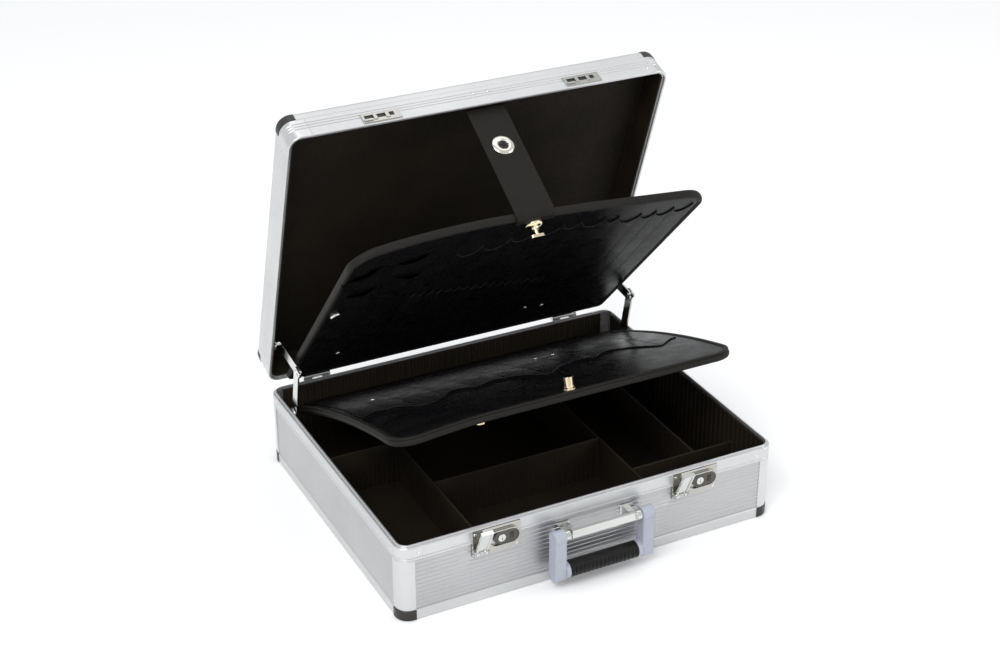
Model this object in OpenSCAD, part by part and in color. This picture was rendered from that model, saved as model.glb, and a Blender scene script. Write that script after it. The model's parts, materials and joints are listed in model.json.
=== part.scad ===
// Aluminium-framed tool case, shown with its lid open: two hinged tool pallets,
// two toggle latches, a folding handle and a folding stay on each side.
// Millimetres. +X is to the right, +Y to the back, +Z up.
// The origin is the centre of the underside of the base.

/* [Case] */
// Outside width of the case
case_w = 460; // [440:1:480]
// Outside depth of the case, front to back
case_d = 375; // [365:1:385]
// Height of the base, from its underside to the seam
base_h = 91; // [90:0.5:92]
// Height of the lid
lid_h = 40.5; // [39:0.5:42]
// Angle that the lid stands open
lid_open = 70.6; // [60:0.1:75]
// Outside radius of the upright corners
corner_r = 15; // [15:0.5:16]
// Wall of the frame sections
wall = 4.5; // [4.5:0.1:5]

/* [Inside] */
// Height of the tops of the dividers
divider_top = 58.5; // [50:0.5:58.5]
// Thickness of the dividers
divider_t = 3; // [2:0.5:4]
// Place of the left long divider across the width
divider_left_x = -122; // [-130:1:-110]
// Place of the right long divider across the width
divider_right_x = 90; // [80:1:100]

/* [Pallets] */
// Width of the upper pallet
pallet_w = 424; // [410:1:424]
// Width of the lower pallet, which sits to the right of the middle
lower_w = 420; // [410:1:420]
// Thickness of the pallets at their edging
pallet_t = 9; // [7:0.5:9]
// Radius of the pallets' free corners
pallet_r = 30; // [20:1:40]
// Tilt of the upper pallet above the horizontal
upper_tilt = 48; // [45:0.1:49]
// Tilt of the lower pallet above the horizontal
lower_tilt = 21.9; // [20:0.1:23]
// Reach of the upper pallet from its hinge
upper_reach = 347; // [335:1:347]
// Reach of the lower pallet from its hinge
lower_reach = 321; // [310:1:321]
// Rise of the lower pallet's bow at its middle
lower_bow = 9; // [6:0.5:9]

/* [Handle and latches] */
// Width of the handle over its arms
handle_w = 122; // [116:1:130]
// Distance of each latch from the middle
latch_x = 122; // [118:1:130]
// Angle that the hasps lean out when they are released
hasp_open = 25; // [20:1:35]
// Width of the strap
strap_w = 46; // [40:1:50]

/* [Hidden] */
$fn = 48;

// Colours
aluminium = "silver";
bright = "gainsboro";
chrome_grey = "lightsteelblue";
black = [0.06, 0.06, 0.06];
lining_black = [0.1, 0.1, 0.1];
vinyl = [0.03, 0.03, 0.04];
edging_grey = [0.2, 0.19, 0.18];
handle_grey = [0.72, 0.74, 0.86];
brass_gold = [0.85, 0.72, 0.4];

// Heights of the frame sections
seam_gap = 0.5;
lid_z = base_h + seam_gap;
top_z = lid_z + lid_h;
bottom_rail_h = 13;
rim_z = base_h - 16;
lid_joint_z = top_z - 12.5;
tongue_h = 2.3;
tongue_in = 3;
tongue_out = 4.4;
lid_rebate = 2.5;
lip_in = 2.7;
cap_proud = 0.6;
rim_reach = 27;
cap_reach = 18;
corner_rivet_in = 23;

// Panels and linings, as depths in from the outer face
panel_out = 1.5;
rib_out = 0.9;
rib_count = 12;
lining_in = 6;
lining_t = 1.5;
rib_depth = 0.8;
lining_rib_pitch = 9;
floor_z = 1.5;
floor_t = 2.5;
floor_lining_t = 1;
lining_z = floor_z + floor_t + floor_lining_t;

// Lid hinge axis, behind the rear face and just above the seam
hinge_y = case_d / 2 + 6.6;
hinge_z = base_h + 1.3;
hinge_x = 168;
leaf_w = 34;
leaf_t = 1.5;
knuckle_r = 3.4;
lid_knuckle_w = 11.8;
knuckle_gap = 0.3;
pin_r = 1.5;
pin_play = 0.06;

// Stays: an exact parallelogram of hinge axis, base pivot, knee and lid pivot
stay_base_p = [132, base_h - 7];
stay_lid_p = [132, base_h + 9];
stay_arm_lower = [stay_lid_p[0] - hinge_y, stay_lid_p[1] - hinge_z];
stay_arm_upper = [hinge_y - stay_base_p[0], hinge_z - stay_base_p[1]];
stay_w = 13;
stay_t = 2;
stay_wall_x = case_w / 2 - lining_in;
lower_link_x = stay_wall_x - 5.8;
upper_link_x = lower_link_x - 2.5;
stay_pin_r = 2.5;
stay_head_r = 4;
open_pivot_play = 0.4;
stay_ear_angle = 165;

// Pallet hinge axes. The upper one is given for the closed lid
upper_axis_closed = [case_d / 2 - 11, lid_z];
lower_axis = [case_d / 2 - 17.5, 64.5];
hinge_roll_r = 3.2;
hinge_strip_w = 380;
upper_offset = -8;
upper_start = 6;
lower_start = 4.2;
lower_x = 6;
snap_x = -108;
edging_w = 4;
pallet_rear_r = 8;
pocket_t = 1.6;
bow_r = (pow(lower_reach / 2, 2) + pow(lower_bow, 2)) / (2 * lower_bow);
button_s = upper_reach - 13;
upper_face = upper_offset - pallet_t / 2 + 1;
stud_s = lower_reach - 12;
seat_gap = 0.03;

// Latches, each measured from its own centre
latch_from = -25;
latch_to = 31;
latch_z = 59;
latch_top = base_h - 0.5;
latch_t = 1.8;
hasp_axis = [-(case_d / 2 + 4.7), 64.5];
hasp_x = -16;
hasp_w = 13.8;
hasp_reach = 36.3;
hasp_pin_r = 1.3;
slide_x = 13.5;
slide_z = 76;
slide_len = 29.2;
slide_h = 16.2;
bezel_len = 37.5;
bezel_h = 19.6;
bezel_out = 4.7;
slide_play = 0.4;
cylinder_r = 4.4;
cylinder_x = 8;

// Handle
handle_axis = [-(case_d / 2 + 17.5), 65];
arm_w = 14;
arm_deep = 14;
arm_foot_z = 11.5;
grip_z = 21.5;
grip_r = 9.5;
grip_ribs = 17;
core_r = 3;
lug_w = 5.5;
bar_half = 4.8;
bar_gap = 3.5;
foot_w = 15;

// Strap, from the lid's front wall to the upper pallet's free edge
strap_t = 1.6;
strap_lid_closed = [-(case_d / 2 - lining_in - 3), lid_z + 8];
eyelet_at = 0.33;
eyelet_r = 6.6;

// Turning about X by the angle a, and the open place of a point of the closed lid
function turned(p, a) = [p[0] * cos(a) - p[1] * sin(a), p[0] * sin(a) + p[1] * cos(a)];
function lid_point(p) =
    let (q = turned([p[0] - hinge_y, p[1] - hinge_z], -lid_open)) [q[0] + hinge_y, q[1] + hinge_z];
function upper_point(s, o) =
    let (q = turned([-s, o], -upper_tilt)) [q[0] + upper_axis[0], q[1] + upper_axis[1]];
upper_axis = lid_point(upper_axis_closed);
stay_knee = [stay_base_p[0], stay_base_p[1]] + turned(stay_arm_lower, -lid_open);
strap_a = lid_point(strap_lid_closed);
strap_b = upper_point(upper_reach - 3, upper_offset + pallet_t / 2 + 2.2);
strap_len = norm(strap_a - strap_b);
strap_angle = atan2(strap_b[1] - strap_a[1], strap_b[0] - strap_a[0]);

// ---------- placing helpers ----------

module in_lid() {
    translate([0, hinge_y, hinge_z]) rotate([-lid_open, 0, 0])
        translate([0, -hinge_y, -hinge_z]) children();
}

module in_upper() {
    translate([0, upper_axis[0], upper_axis[1]]) rotate([-upper_tilt, 0, 0]) children();
}

module in_lower(x) {
    translate([x, lower_axis[0], lower_axis[1]]) rotate([-lower_tilt, 0, 0]) children();
}

// A flat shape drawn in the YZ plane, made thick along X from x0
module across(x0, thick) {
    translate([x0, 0, 0]) rotate([90, 0, 90]) linear_extrude(thick) children();
}

// A round bar along X, centred on x, with its axis at the YZ point p
module axle(x, p, len, r) {
    translate([x - len / 2, p[0], p[1]]) rotate([0, 90, 0]) cylinder(h = len, r = r);
}

module box_between(a, b) {
    translate(a) cube(b - a);
}

// ---------- frame sections ----------
// A section is a list of [depth in from the outer face, height]

function side_len(i) = i % 2 == 0 ? case_w : case_d;
function side_dist(i) = i % 2 == 0 ? case_d / 2 : case_w / 2;

module rails(section, reach) {
    for (i = [0 : 3])
        rotate([0, 0, 90 * i]) translate([0, -side_dist(i), 0])
            across(reach - side_len(i) / 2, side_len(i) - 2 * reach) polygon(section);
}

module corners(section, reach) {
    signs = [[1, 1], [-1, 1], [-1, -1], [1, -1]];
    for (i = [0 : 3])
        translate([signs[i][0] * (case_w / 2 - corner_r), signs[i][1] * (case_d / 2 - corner_r), 0])
            rotate([0, 0, 90 * i]) corner_piece(section, reach - corner_r);
}

module corner_piece(section, leg) {
    turned_section = [for (p = section) [corner_r - p[0], p[1]]];
    rotate_extrude(angle = 90) polygon(turned_section);
    rotate([90, 0, 0]) linear_extrude(leg) polygon(turned_section);
    rotate([0, 0, 90]) rotate([90, 0, 0]) translate([0, 0, -leg])
        linear_extrude(leg) polygon(turned_section);
}

function groove(z, deep, half) = [[0, z - half], [deep, z], [0, z + half]];

function bottom_section(out) = [[out + 1, 0], [out, 1], [out, bottom_rail_h - 1],
    [out + 1, bottom_rail_h], [wall, bottom_rail_h], [wall, floor_z], [12, floor_z], [12, 0]];

rim_section = concat([[0.4, rim_z], [0, rim_z + 0.4]], groove(rim_z + 3.2, 0.8, 0.6),
    [[0, base_h - 0.7], [0.7, base_h], [tongue_in, base_h], [tongue_in, base_h + tongue_h],
    [tongue_out, base_h + tongue_h], [tongue_out, base_h], [wall, base_h], [wall, rim_z]]);

lid_section = concat([[0.7, lid_z], [0, lid_z + 0.7]], groove(lid_z + 13, 1, 0.7),
    groove(lid_z + 17, 1, 0.7), groove(lid_z + 21, 1, 0.7),
    [[0, lid_joint_z - 0.4], [0.4, lid_joint_z], [wall, lid_joint_z],
    [wall, lid_z + lid_rebate], [lip_in, lid_z + lid_rebate], [lip_in, lid_z]]);

function lid_top_section(out, round_r) = concat([[out + 0.4, lid_joint_z], [out, lid_joint_z + 0.4]],
    [for (a = [0 : 10 : 90]) [out + round_r - round_r * cos(a), top_z - out - round_r + round_r * sin(a)]],
    [[13.5, top_z - out], [13.5, top_z - 2.5], [wall, top_z - 2.5], [wall, lid_joint_z]]);

module base_bottom_rails() {
    color(aluminium) rails(bottom_section(0), cap_reach);
}

module base_corner_caps() {
    color(black) corners(bottom_section(-cap_proud), cap_reach);
}

module base_corner_posts() {
    section = [[0, bottom_rail_h], [0, rim_z], [wall, rim_z], [wall, bottom_rail_h]];
    color(bright) corners(section, cap_reach);
}

module base_rim_rails() {
    color(aluminium) rails(rim_section, rim_reach);
}

module base_rim_corners() {
    color(bright) corners(rim_section, rim_reach);
}

// ---------- panels of the base ----------

function ribbed_edge(z0, z1, count) =
    [for (i = [0 : count - 1]) let (p = (z1 - z0) / count, z = z0 + i * p)
        each [[panel_out, z + 0.2 * p], [rib_out, z + 0.3 * p],
            [rib_out, z + 0.85 * p], [panel_out, z + 0.95 * p]]];

ribbed_section = concat([[panel_out, bottom_rail_h]], ribbed_edge(bottom_rail_h, rim_z, rib_count),
    [[panel_out, rim_z], [wall, rim_z], [wall, bottom_rail_h]]);

module ribbed_panel() {
    translate([0, -case_d / 2, 0])
        across(cap_reach - case_w / 2, case_w - 2 * cap_reach) polygon(ribbed_section);
}

module base_front_panel() {
    color(aluminium) ribbed_panel();
}

module base_back_panel() {
    color(aluminium) rotate([0, 0, 180]) ribbed_panel();
}

module base_side_panels() {
    color(aluminium) for (side = [-1, 1])
        translate([side * (case_w / 2 - (rib_out + wall) / 2), 0, (bottom_rail_h + rim_z) / 2])
            cube([wall - rib_out, case_d - 2 * cap_reach, rim_z - bottom_rail_h], center = true);
}

// A slab that fills the case's outline less the depth in
module inner_slab(in, z, t) {
    w = case_w - 2 * in;
    d = case_d - 2 * in;
    r = corner_r - in;
    translate([0, 0, z]) linear_extrude(t) {
        square([w - 2 * r, d], center = true);
        square([w, d - 2 * r], center = true);
        for (sx = [-1, 1], sy = [-1, 1])
            translate([sx * (w / 2 - r), sy * (d / 2 - r)]) circle(r);
    }
}

// The board is rebated all round over the rails' lips, and flush with them underneath
module base_floor_panel() {
    color(lining_black) {
        inner_slab(wall, floor_z, floor_t);
        inner_slab(12.2, 0, floor_z);
    }
}

module base_floor_lining() {
    color(lining_black) inner_slab(lining_in, floor_z + floor_t, floor_lining_t);
}

// Lining of one wall: a sheet with upright ribs on its inner face
module wall_lining(len) {
    n = floor(len / lining_rib_pitch);
    first = -(n - 1) / 2 * lining_rib_pitch;
    outline = concat([[-len / 2, 0], [-len / 2, lining_t]],
        [for (i = [0 : n - 1]) let (x = first + i * lining_rib_pitch)
            each [[x - 2.6, lining_t], [x - 2, lining_t + rib_depth],
                [x + 2, lining_t + rib_depth], [x + 2.6, lining_t]]],
        [[len / 2, lining_t], [len / 2, 0]]);
    translate([0, 0, lining_z]) linear_extrude(base_h - 1.2 - lining_z) polygon(outline);
}

module base_wall_lining() {
    color(lining_black) {
        for (i = [0 : 3])
            rotate([0, 0, 90 * i]) translate([0, -side_dist(i) + wall, 0])
                wall_lining(side_len(i) - 2 * corner_r);
    }
}

module long_dividers() {
    run = case_d - 2 * (lining_in + rib_depth + 0.3);
    color(lining_black) for (x = [divider_left_x, divider_right_x])
        translate([x - divider_t / 2, -run / 2, lining_z])
            cube([divider_t, run, divider_top - lining_z]);
}

module cross_divider(x0, x1, y) {
    translate([x0, y - divider_t / 2, lining_z])
        cube([x1 - x0, divider_t, divider_top - lining_z]);
}

module cross_dividers() {
    edge = case_w / 2 - lining_in - rib_depth - 0.3;
    half = divider_t / 2 + 0.1;
    short_x = 172;
    color(lining_black) {
        cross_divider(-edge, divider_left_x - half, 62);
        cross_divider(divider_left_x + half, divider_right_x - half, -37);
        cross_divider(divider_right_x + half, edge, -113);
        rotate([0, 0, 90]) cross_divider(-113 + half, 180.4, -short_x);
    }
}

// Domed rivets: a dome of radius r standing h proud along the child's +Z
module rivet(r, h) {
    rotate_extrude() polygon([[0, 0], [r, 0], [r * 0.8, h * 0.7], [r * 0.4, h], [0, h]]);
}

// A rivet on each leg of the four corner pieces, on the outer faces at the height z
module corner_rivets(z) {
    for (side = [-1, 1], face = [-1, 1]) {
        translate([side * (case_w / 2 - corner_rivet_in), face * case_d / 2, z])
            rotate([-90 * face, 0, 0]) rivet(2, 0.8);
        translate([side * case_w / 2, face * (case_d / 2 - corner_rivet_in), z])
            rotate([0, 90 * side, 0]) rivet(2, 0.8);
    }
}

module base_rivets() {
    color(bright) {
        corner_rivets(base_h - 8);
        for (side = [-1, 1], u = [latch_from + 3, latch_to - 4])
            translate([side * latch_x + u, -case_d / 2 - latch_t, latch_top - (u < 0 ? 4 : 27.5)])
                rotate([90, 0, 0]) rivet(1.8, 0.7);
    }
}

// ---------- lid hinges ----------

module hinge_base_leaves() {
    plate_z = 70;
    color(bright) for (x = [-hinge_x, hinge_x]) difference() {
        union() {
            box_between([x - leaf_w / 2, case_d / 2, plate_z],
                [x + leaf_w / 2, case_d / 2 + leaf_t, base_h - 0.4]);
            for (side = [-1, 1]) {
                w = (leaf_w - lid_knuckle_w) / 2 - knuckle_gap;
                xc = x + side * (leaf_w - w) / 2;
                axle(xc, [hinge_y, hinge_z], w, knuckle_r);
                box_between([xc - w / 2, case_d / 2, hinge_z - knuckle_r],
                    [xc + w / 2, hinge_y, hinge_z - knuckle_r + 1.6]);
            }
        }
        axle(x, [hinge_y, hinge_z], leaf_w + 2, pin_r);
    }
}

module hinge_pins() {
    color(bright) for (x = [-hinge_x, hinge_x]) axle(x, [hinge_y, hinge_z], leaf_w, pin_r);
}

module lid_hinge_leaves() {
    color(bright) in_lid() for (x = [-hinge_x, hinge_x]) difference() {
        union() {
            box_between([x - leaf_w / 2, case_d / 2, lid_z + 2.5],
                [x + leaf_w / 2, case_d / 2 + leaf_t, lid_z + 20]);
            axle(x, [hinge_y, hinge_z], lid_knuckle_w, knuckle_r);
            box_between([x - lid_knuckle_w / 2, case_d / 2, hinge_z + knuckle_r - 1.6],
                [x + lid_knuckle_w / 2, hinge_y, hinge_z + knuckle_r]);
        }
        axle(x, [hinge_y, hinge_z], leaf_w, pin_r + pin_play);
    }
}

// ---------- lid stays ----------

// Outline of a flat link between two pivots in the YZ plane, with a hole at each
module link_outline(p, q, hole_p, hole_q) {
    angle = atan2(q[1] - p[1], q[0] - p[0]);
    difference() {
        union() {
            translate(p) circle(stay_w / 2);
            translate(q) circle(stay_w / 2);
            translate(p) rotate(angle) translate([0, -stay_w / 2]) square([norm(q - p), stay_w]);
        }
        translate(p) circle(hole_p);
        translate(q) circle(hole_q);
    }
}

module stay_lower_link() {
    across(lower_link_x, stay_t) {
        link_outline(stay_base_p, stay_knee, stay_pin_r + pin_play, stay_pin_r);
        stay_ear();
    }
}

// Thumb lug at the knee, on its front side
module stay_ear() {
    translate(stay_knee) difference() {
        union() {
            rotate(stay_ear_angle) translate([0, -3]) square([8.5, 6]);
            rotate(stay_ear_angle) translate([8.5, 0]) circle(3);
            circle(7.6);
        }
        circle(stay_pin_r);
    }
}

module stay_upper_link() {
    across(upper_link_x, stay_t)
        link_outline(stay_knee, stay_knee + stay_arm_upper,
            stay_pin_r + pin_play, stay_pin_r + open_pivot_play);
}

module stay_knee_rivet() {
    axle(upper_link_x + 2.1, stay_knee, 5.2, stay_pin_r);
    axle(upper_link_x - 0.7, stay_knee, 1, stay_head_r);
    axle(lower_link_x + stay_t + 0.35, stay_knee, 0.7, stay_head_r);
}

// Bracket plate against the wall, with its pivot pin and the pin's head
module stay_base_bracket() {
    plate_x = stay_wall_x - rib_depth - 2;
    across(plate_x, 2) difference() {
        union() {
            translate(stay_base_p) circle(8);
            translate(stay_base_p + [-9, -15]) square([18, 15]);
        }
        for (dy = [-5, 5]) translate(stay_base_p + [dy, -10]) circle(1.6);
    }
    axle((plate_x + lower_link_x - 0.2) / 2, stay_base_p, plate_x - lower_link_x + 0.2, stay_pin_r);
    axle(lower_link_x - 0.7, stay_base_p, 1, stay_head_r);
}

module stay_lid_bracket() {
    plate_x = stay_wall_x - 2;
    across(plate_x, 2) difference() {
        union() {
            translate(stay_lid_p) circle(6.5);
            translate(stay_lid_p + [-9, 0]) square([18, 15]);
        }
        for (dy = [-5, 5]) translate(stay_lid_p + [dy, 11]) circle(1.6);
    }
    axle((plate_x + upper_link_x - 0.3) / 2, stay_lid_p, plate_x - upper_link_x + 0.3, stay_pin_r);
    axle(upper_link_x - 0.8, stay_lid_p, 1, stay_head_r);
}

module stay_base_brackets() {
    color(chrome_grey) {
        stay_base_bracket();
        mirror([1, 0, 0]) stay_base_bracket();
    }
}

module stay_lid_brackets() {
    color(chrome_grey) in_lid() {
        stay_lid_bracket();
        mirror([1, 0, 0]) stay_lid_bracket();
    }
}

module stay_lower_link_right() {
    color(chrome_grey) stay_lower_link();
}

module stay_lower_link_left() {
    color(chrome_grey) mirror([1, 0, 0]) stay_lower_link();
}

module stay_upper_link_right() {
    color(chrome_grey) stay_upper_link();
}

module stay_upper_link_left() {
    color(chrome_grey) mirror([1, 0, 0]) stay_upper_link();
}

module stay_knee_rivet_right() {
    color(bright) stay_knee_rivet();
}

module stay_knee_rivet_left() {
    color(bright) mirror([1, 0, 0]) stay_knee_rivet();
}

// ---------- latches ----------

// A pill outline in the plane of the front face, made thick towards the front
module pill(x, z, len, h, y_back, thick) {
    translate([x, y_back, z]) rotate([90, 0, 0]) linear_extrude(thick) {
        square([len - h, h], center = true);
        for (side = [-1, 1]) translate([side * (len - h) / 2, 0]) circle(h / 2);
    }
}

module latch_plate() {
    face = -case_d / 2;
    ear_x = hasp_w / 2 + 0.3;
    difference() {
        union() {
            box_between([latch_from, face - latch_t, latch_z], [latch_to, face, latch_top]);
            pill(slide_x - 2.5, slide_z, bezel_len, bezel_h, face, bezel_out);
            for (side = [-1, 1])
                across(hasp_x + side * (ear_x + 0.8) - 0.8, 1.6) {
                    translate(hasp_axis) circle(3);
                    translate([hasp_axis[0], hasp_axis[1] - 3]) square([3.4, 6]);
                }
        }
        pill(slide_x - 2.5, slide_z, slide_len + 5 + 2 * slide_play, slide_h + 2 * slide_play,
            face - latch_t, 5);
        axle(hasp_x, hasp_axis, 2 * hasp_w, hasp_pin_r);
    }
}

module latch_plates() {
    color(chrome_grey) for (side = [-1, 1]) translate([side * latch_x, 0, 0]) latch_plate();
}

module latch_hasp_pins() {
    color(bright) for (side = [-1, 1]) axle(side * latch_x + hasp_x, hasp_axis, hasp_w + 3.6, hasp_pin_r);
}

module latch_springs() {
    color(bright) for (side = [-1, 1], i = [0 : 4])
        translate([side * latch_x + hasp_x - 2 + i, hasp_axis[0], hasp_axis[1]]) rotate([0, 90, 0])
            rotate_extrude() translate([hasp_pin_r + 0.7, 0]) circle(0.4);
}

// The hasp is drawn closed and then turned out about its pin
module latch_hasp() {
    a = hasp_axis;
    back = case_d / 2 + 2.7;
    front = case_d / 2 + 4.5;
    top = a[1] + hasp_reach;
    translate([hasp_x, a[0], a[1]]) rotate([hasp_open, 0, 0]) translate([0, -a[0], -a[1]]) {
        difference() {
            union() {
                box_between([-hasp_w / 2, -front, a[1]], [hasp_w / 2, -back, top]);
                axle(0, a, hasp_w, 2.6);
                box_between([-hasp_w / 2, -back, top - 1.6], [hasp_w / 2, -(case_d / 2 + 1.5), top]);
                box_between([-hasp_w / 2, -front - 1.4, top - 1.6], [hasp_w / 2, -front, top]);
                for (side = [-1, 1])
                    box_between([side * (hasp_w / 2 - 1) - 1, -front - 0.9, a[1] + 4],
                        [side * (hasp_w / 2 - 1) + 1, -front, top - 1.6]);
            }
            axle(0, a, hasp_w + 1, hasp_pin_r + pin_play);
            box_between([-3, a[0] - 4, a[1] - 4], [3, a[0] + 4, a[1] + 3.2]);
        }
    }
}

module latch_hasp_left() {
    color(chrome_grey) translate([-latch_x, 0, 0]) latch_hasp();
}

module latch_hasp_right() {
    color(chrome_grey) translate([latch_x, 0, 0]) latch_hasp();
}

module latch_slide() {
    back = -case_d / 2 - latch_t;
    difference() {
        union() {
            pill(slide_x, slide_z, slide_len, slide_h, back, 2.6);
            for (i = [0 : 2])
                box_between([slide_x + 4.6 + 1.5 * i, back - 3.6, slide_z - 3.5],
                    [slide_x + 5.4 + 1.5 * i, back - 2.6, slide_z + 3.5]);
        }
        translate([cylinder_x, back - 0.8, slide_z]) rotate([90, 0, 0])
            cylinder(h = 4, r = cylinder_r + pin_play);
    }
}

module latch_slide_left() {
    color(black) translate([-latch_x, 0, 0]) latch_slide();
}

module latch_slide_right() {
    color(black) translate([latch_x, 0, 0]) latch_slide();
}

module latch_cylinder() {
    back = -case_d / 2 - latch_t - 0.8;
    difference() {
        translate([cylinder_x, back, slide_z]) rotate([90, 0, 0]) {
            cylinder(h = 2.4, r = cylinder_r);
            cylinder(h = 2.9, r = cylinder_r - 0.8);
        }
        box_between([cylinder_x - 0.5, back - 4, slide_z - 2.4],
            [cylinder_x + 0.5, back - 1.2, slide_z + 2.4]);
    }
}

module latch_cylinder_left() {
    color(bright) translate([-latch_x, 0, 0]) latch_cylinder();
}

module latch_cylinder_right() {
    color(bright) translate([latch_x, 0, 0]) latch_cylinder();
}

module lid_strikes() {
    face = -case_d / 2;
    color(chrome_grey) in_lid() for (side = [-1, 1]) translate([side * latch_x, 0, 0]) {
        difference() {
            box_between([-22, face - 1.2, lid_z + 2.6], [22, face, lid_z + 17]);
            box_between([-19, face - 2, lid_z + 7.6], [15, face + 1, lid_z + 13.4]);
        }
        box_between([hasp_x - 5, face - 2.3, lid_z + 4.6], [hasp_x + 5, face - 1.2, lid_z + 7.2]);
        for (x = [-7, 7]) box_between([x - 2, face - 2, lid_z + 5.4], [x + 2, face, lid_z + 14.6]);
    }
}

// ---------- handle ----------

// A lug with a foot at each end for the pivot pins, and a flat bar that bends back to the front
module handle_bracket() {
    half = handle_w / 2 - arm_w - 0.5;
    plate_y = -case_d / 2 + rib_out;
    bar_y = handle_axis[0];
    bar_z = handle_axis[1];
    bar_from = lug_w + bar_gap - half;
    color(chrome_grey) difference() {
        union() {
            for (side = [-1, 1]) {
                across(side > 0 ? half - lug_w : -half, lug_w) {
                    translate(handle_axis) circle(6);
                    translate([bar_y, bar_z - bar_half]) square([plate_y - bar_y, 2 * bar_half]);
                }
                translate([side * (half - foot_w / 2), plate_y - 0.9, bar_z])
                    cube([foot_w, 1.8, 2 * bar_half + 2], center = true);
            }
            box_between([bar_from, bar_y - 2, bar_z - bar_half], [half - 1, bar_y + 2, bar_z + bar_half]);
            box_between([bar_from, bar_y, bar_z - bar_half], [bar_from + 4, plate_y, bar_z + bar_half]);
        }
        for (side = [-1, 1]) axle(side * half, handle_axis, 2 * lug_w, core_r);
    }
}

module handle_pivot_pins() {
    half = handle_w / 2 - arm_w - 0.5;
    color(bright) for (side = [-1, 1])
        axle(side * (half + 2.5), handle_axis, 2 * lug_w + 5, core_r);
}

module handle_arms() {
    inner = handle_w / 2 - arm_w;
    color(handle_grey) for (side = [-1, 1]) difference() {
        union() {
            across(side > 0 ? inner : -inner - arm_w, arm_w) {
                translate(handle_axis) circle(arm_deep / 2 + 1);
                translate([handle_axis[0] - arm_deep / 2, arm_foot_z + 6])
                    square([arm_deep, handle_axis[1] - arm_foot_z - 6]);
                translate([handle_axis[0] - arm_deep / 2 + 5, arm_foot_z]) square([arm_deep - 10, 10]);
                for (dy = [-1, 1])
                    translate([handle_axis[0] + dy * (arm_deep / 2 - 5), arm_foot_z + 5]) circle(5);
            }
            axle(side * (inner - 2.5), [handle_axis[0], grip_z], 5, grip_r);
        }
        axle(side * (inner + 5), handle_axis, 13, core_r + pin_play);
        axle(side * (inner + 1), [handle_axis[0], grip_z], 14, core_r);
    }
}

function grip_outline(half) = concat([[core_r, -half], [grip_r - 0.5, -half]],
    [for (i = [0 : grip_ribs - 1]) let (p = 2 * half / grip_ribs, x = -half + i * p)
        each [[grip_r - 1.4, x + 0.1 * p], [grip_r - 1.4, x + 0.3 * p],
            [grip_r, x + 0.45 * p], [grip_r, x + 0.85 * p]]],
    [[grip_r - 0.5, half], [core_r, half]]);

module handle_grip() {
    half = handle_w / 2 - arm_w - 5;
    color(black) translate([0, handle_axis[0], grip_z]) rotate([0, 90, 0])
        rotate_extrude() polygon(grip_outline(half));
}

module handle_core_rod() {
    color(bright) axle(0, [handle_axis[0], grip_z], 2 * (handle_w / 2 - arm_w + 8), core_r);
}

// ---------- lid ----------

module lid_rim_rails() {
    color(aluminium) in_lid() rails(lid_section, rim_reach);
}

module lid_corner_pieces() {
    color(bright) in_lid() corners(lid_section, rim_reach);
}

module lid_top_rails() {
    color(aluminium) in_lid() rails(lid_top_section(0, 6), cap_reach);
}

module lid_corner_caps() {
    color(black) in_lid() corners(lid_top_section(-cap_proud, 6.6), cap_reach);
}

module lid_top_panel() {
    panel_z = top_z - 4.5;
    window_w = case_w - 2 * 14;
    window_d = case_d - 2 * 14;
    ribs = floor(window_d / 5.2);
    pitch = window_d / ribs;
    outline = concat([[-window_d / 2, 1]],
        [for (i = [0 : ribs - 1]) let (y = -window_d / 2 + i * pitch)
            each [[y + 0.15 * pitch, 2], [y + 0.25 * pitch, 2.6],
                [y + 0.8 * pitch, 2.6], [y + 0.9 * pitch, 2]]],
        [[window_d / 2, 1]]);
    color(aluminium) in_lid() {
        inner_slab(wall, panel_z, 2);
        translate([0, 0, panel_z]) across(-window_w / 2, window_w) polygon(outline);
    }
}

module lid_lining() {
    bottom = lid_z + 3;
    sheet_z = top_z - 6;
    color(lining_black) in_lid() {
        inner_slab(wall, sheet_z, 1.5);
        difference() {
            inner_slab(wall, bottom, sheet_z - bottom);
            inner_slab(lining_in, bottom - 1, sheet_z - bottom + 1);
        }
    }
}

module lid_rivets() {
    color(bright) in_lid() {
        for (x = [-9, 9]) translate([x, -case_d / 2, lid_z + 19]) rotate([90, 0, 0]) rivet(1.8, 0.6);
        corner_rivets(lid_z + 9);
    }
}

// The strap lies straight between the lid and the pallet while the lid is open
module along_strap(at) {
    translate([0, strap_a[0], strap_a[1]]) rotate([strap_angle, 0, 0]) translate([0, at, 0]) children();
}

module strap() {
    color(vinyl) along_strap(0) difference() {
        translate([-strap_w / 2, 0, -strap_t / 2]) cube([strap_w, strap_len, strap_t]);
        translate([0, eyelet_at * strap_len, -5]) cylinder(h = 10, r = eyelet_r);
    }
}

module strap_eyelet() {
    color(bright) along_strap(eyelet_at * strap_len) rotate_extrude()
        polygon([[5.5, -1.6], [eyelet_r, -1.6], [eyelet_r, 0.8], [12.5, 0.8],
            [11.4, 1.8], [8.5, 2.4], [6.4, 2.2], [5.5, 1.2]]);
}

// A hinge strip: a plate on the wall, a web, and a roll around the pallet's axis
module upper_pallet_hinge() {
    a = upper_axis_closed;
    wall_y = case_d / 2 - lining_in;
    color(vinyl) in_lid() {
        axle(0, a, hinge_strip_w, hinge_roll_r);
        box_between([-hinge_strip_w / 2, a[0] - 0.7, a[1]], [hinge_strip_w / 2, a[0] + 0.7, a[1] + 7]);
        box_between([-hinge_strip_w / 2, a[0] - 0.7, a[1] + 5.6], [hinge_strip_w / 2, wall_y, a[1] + 7]);
        box_between([-hinge_strip_w / 2, wall_y - 1.4, a[1] + 5.6], [hinge_strip_w / 2, wall_y, a[1] + 20]);
    }
}

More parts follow.
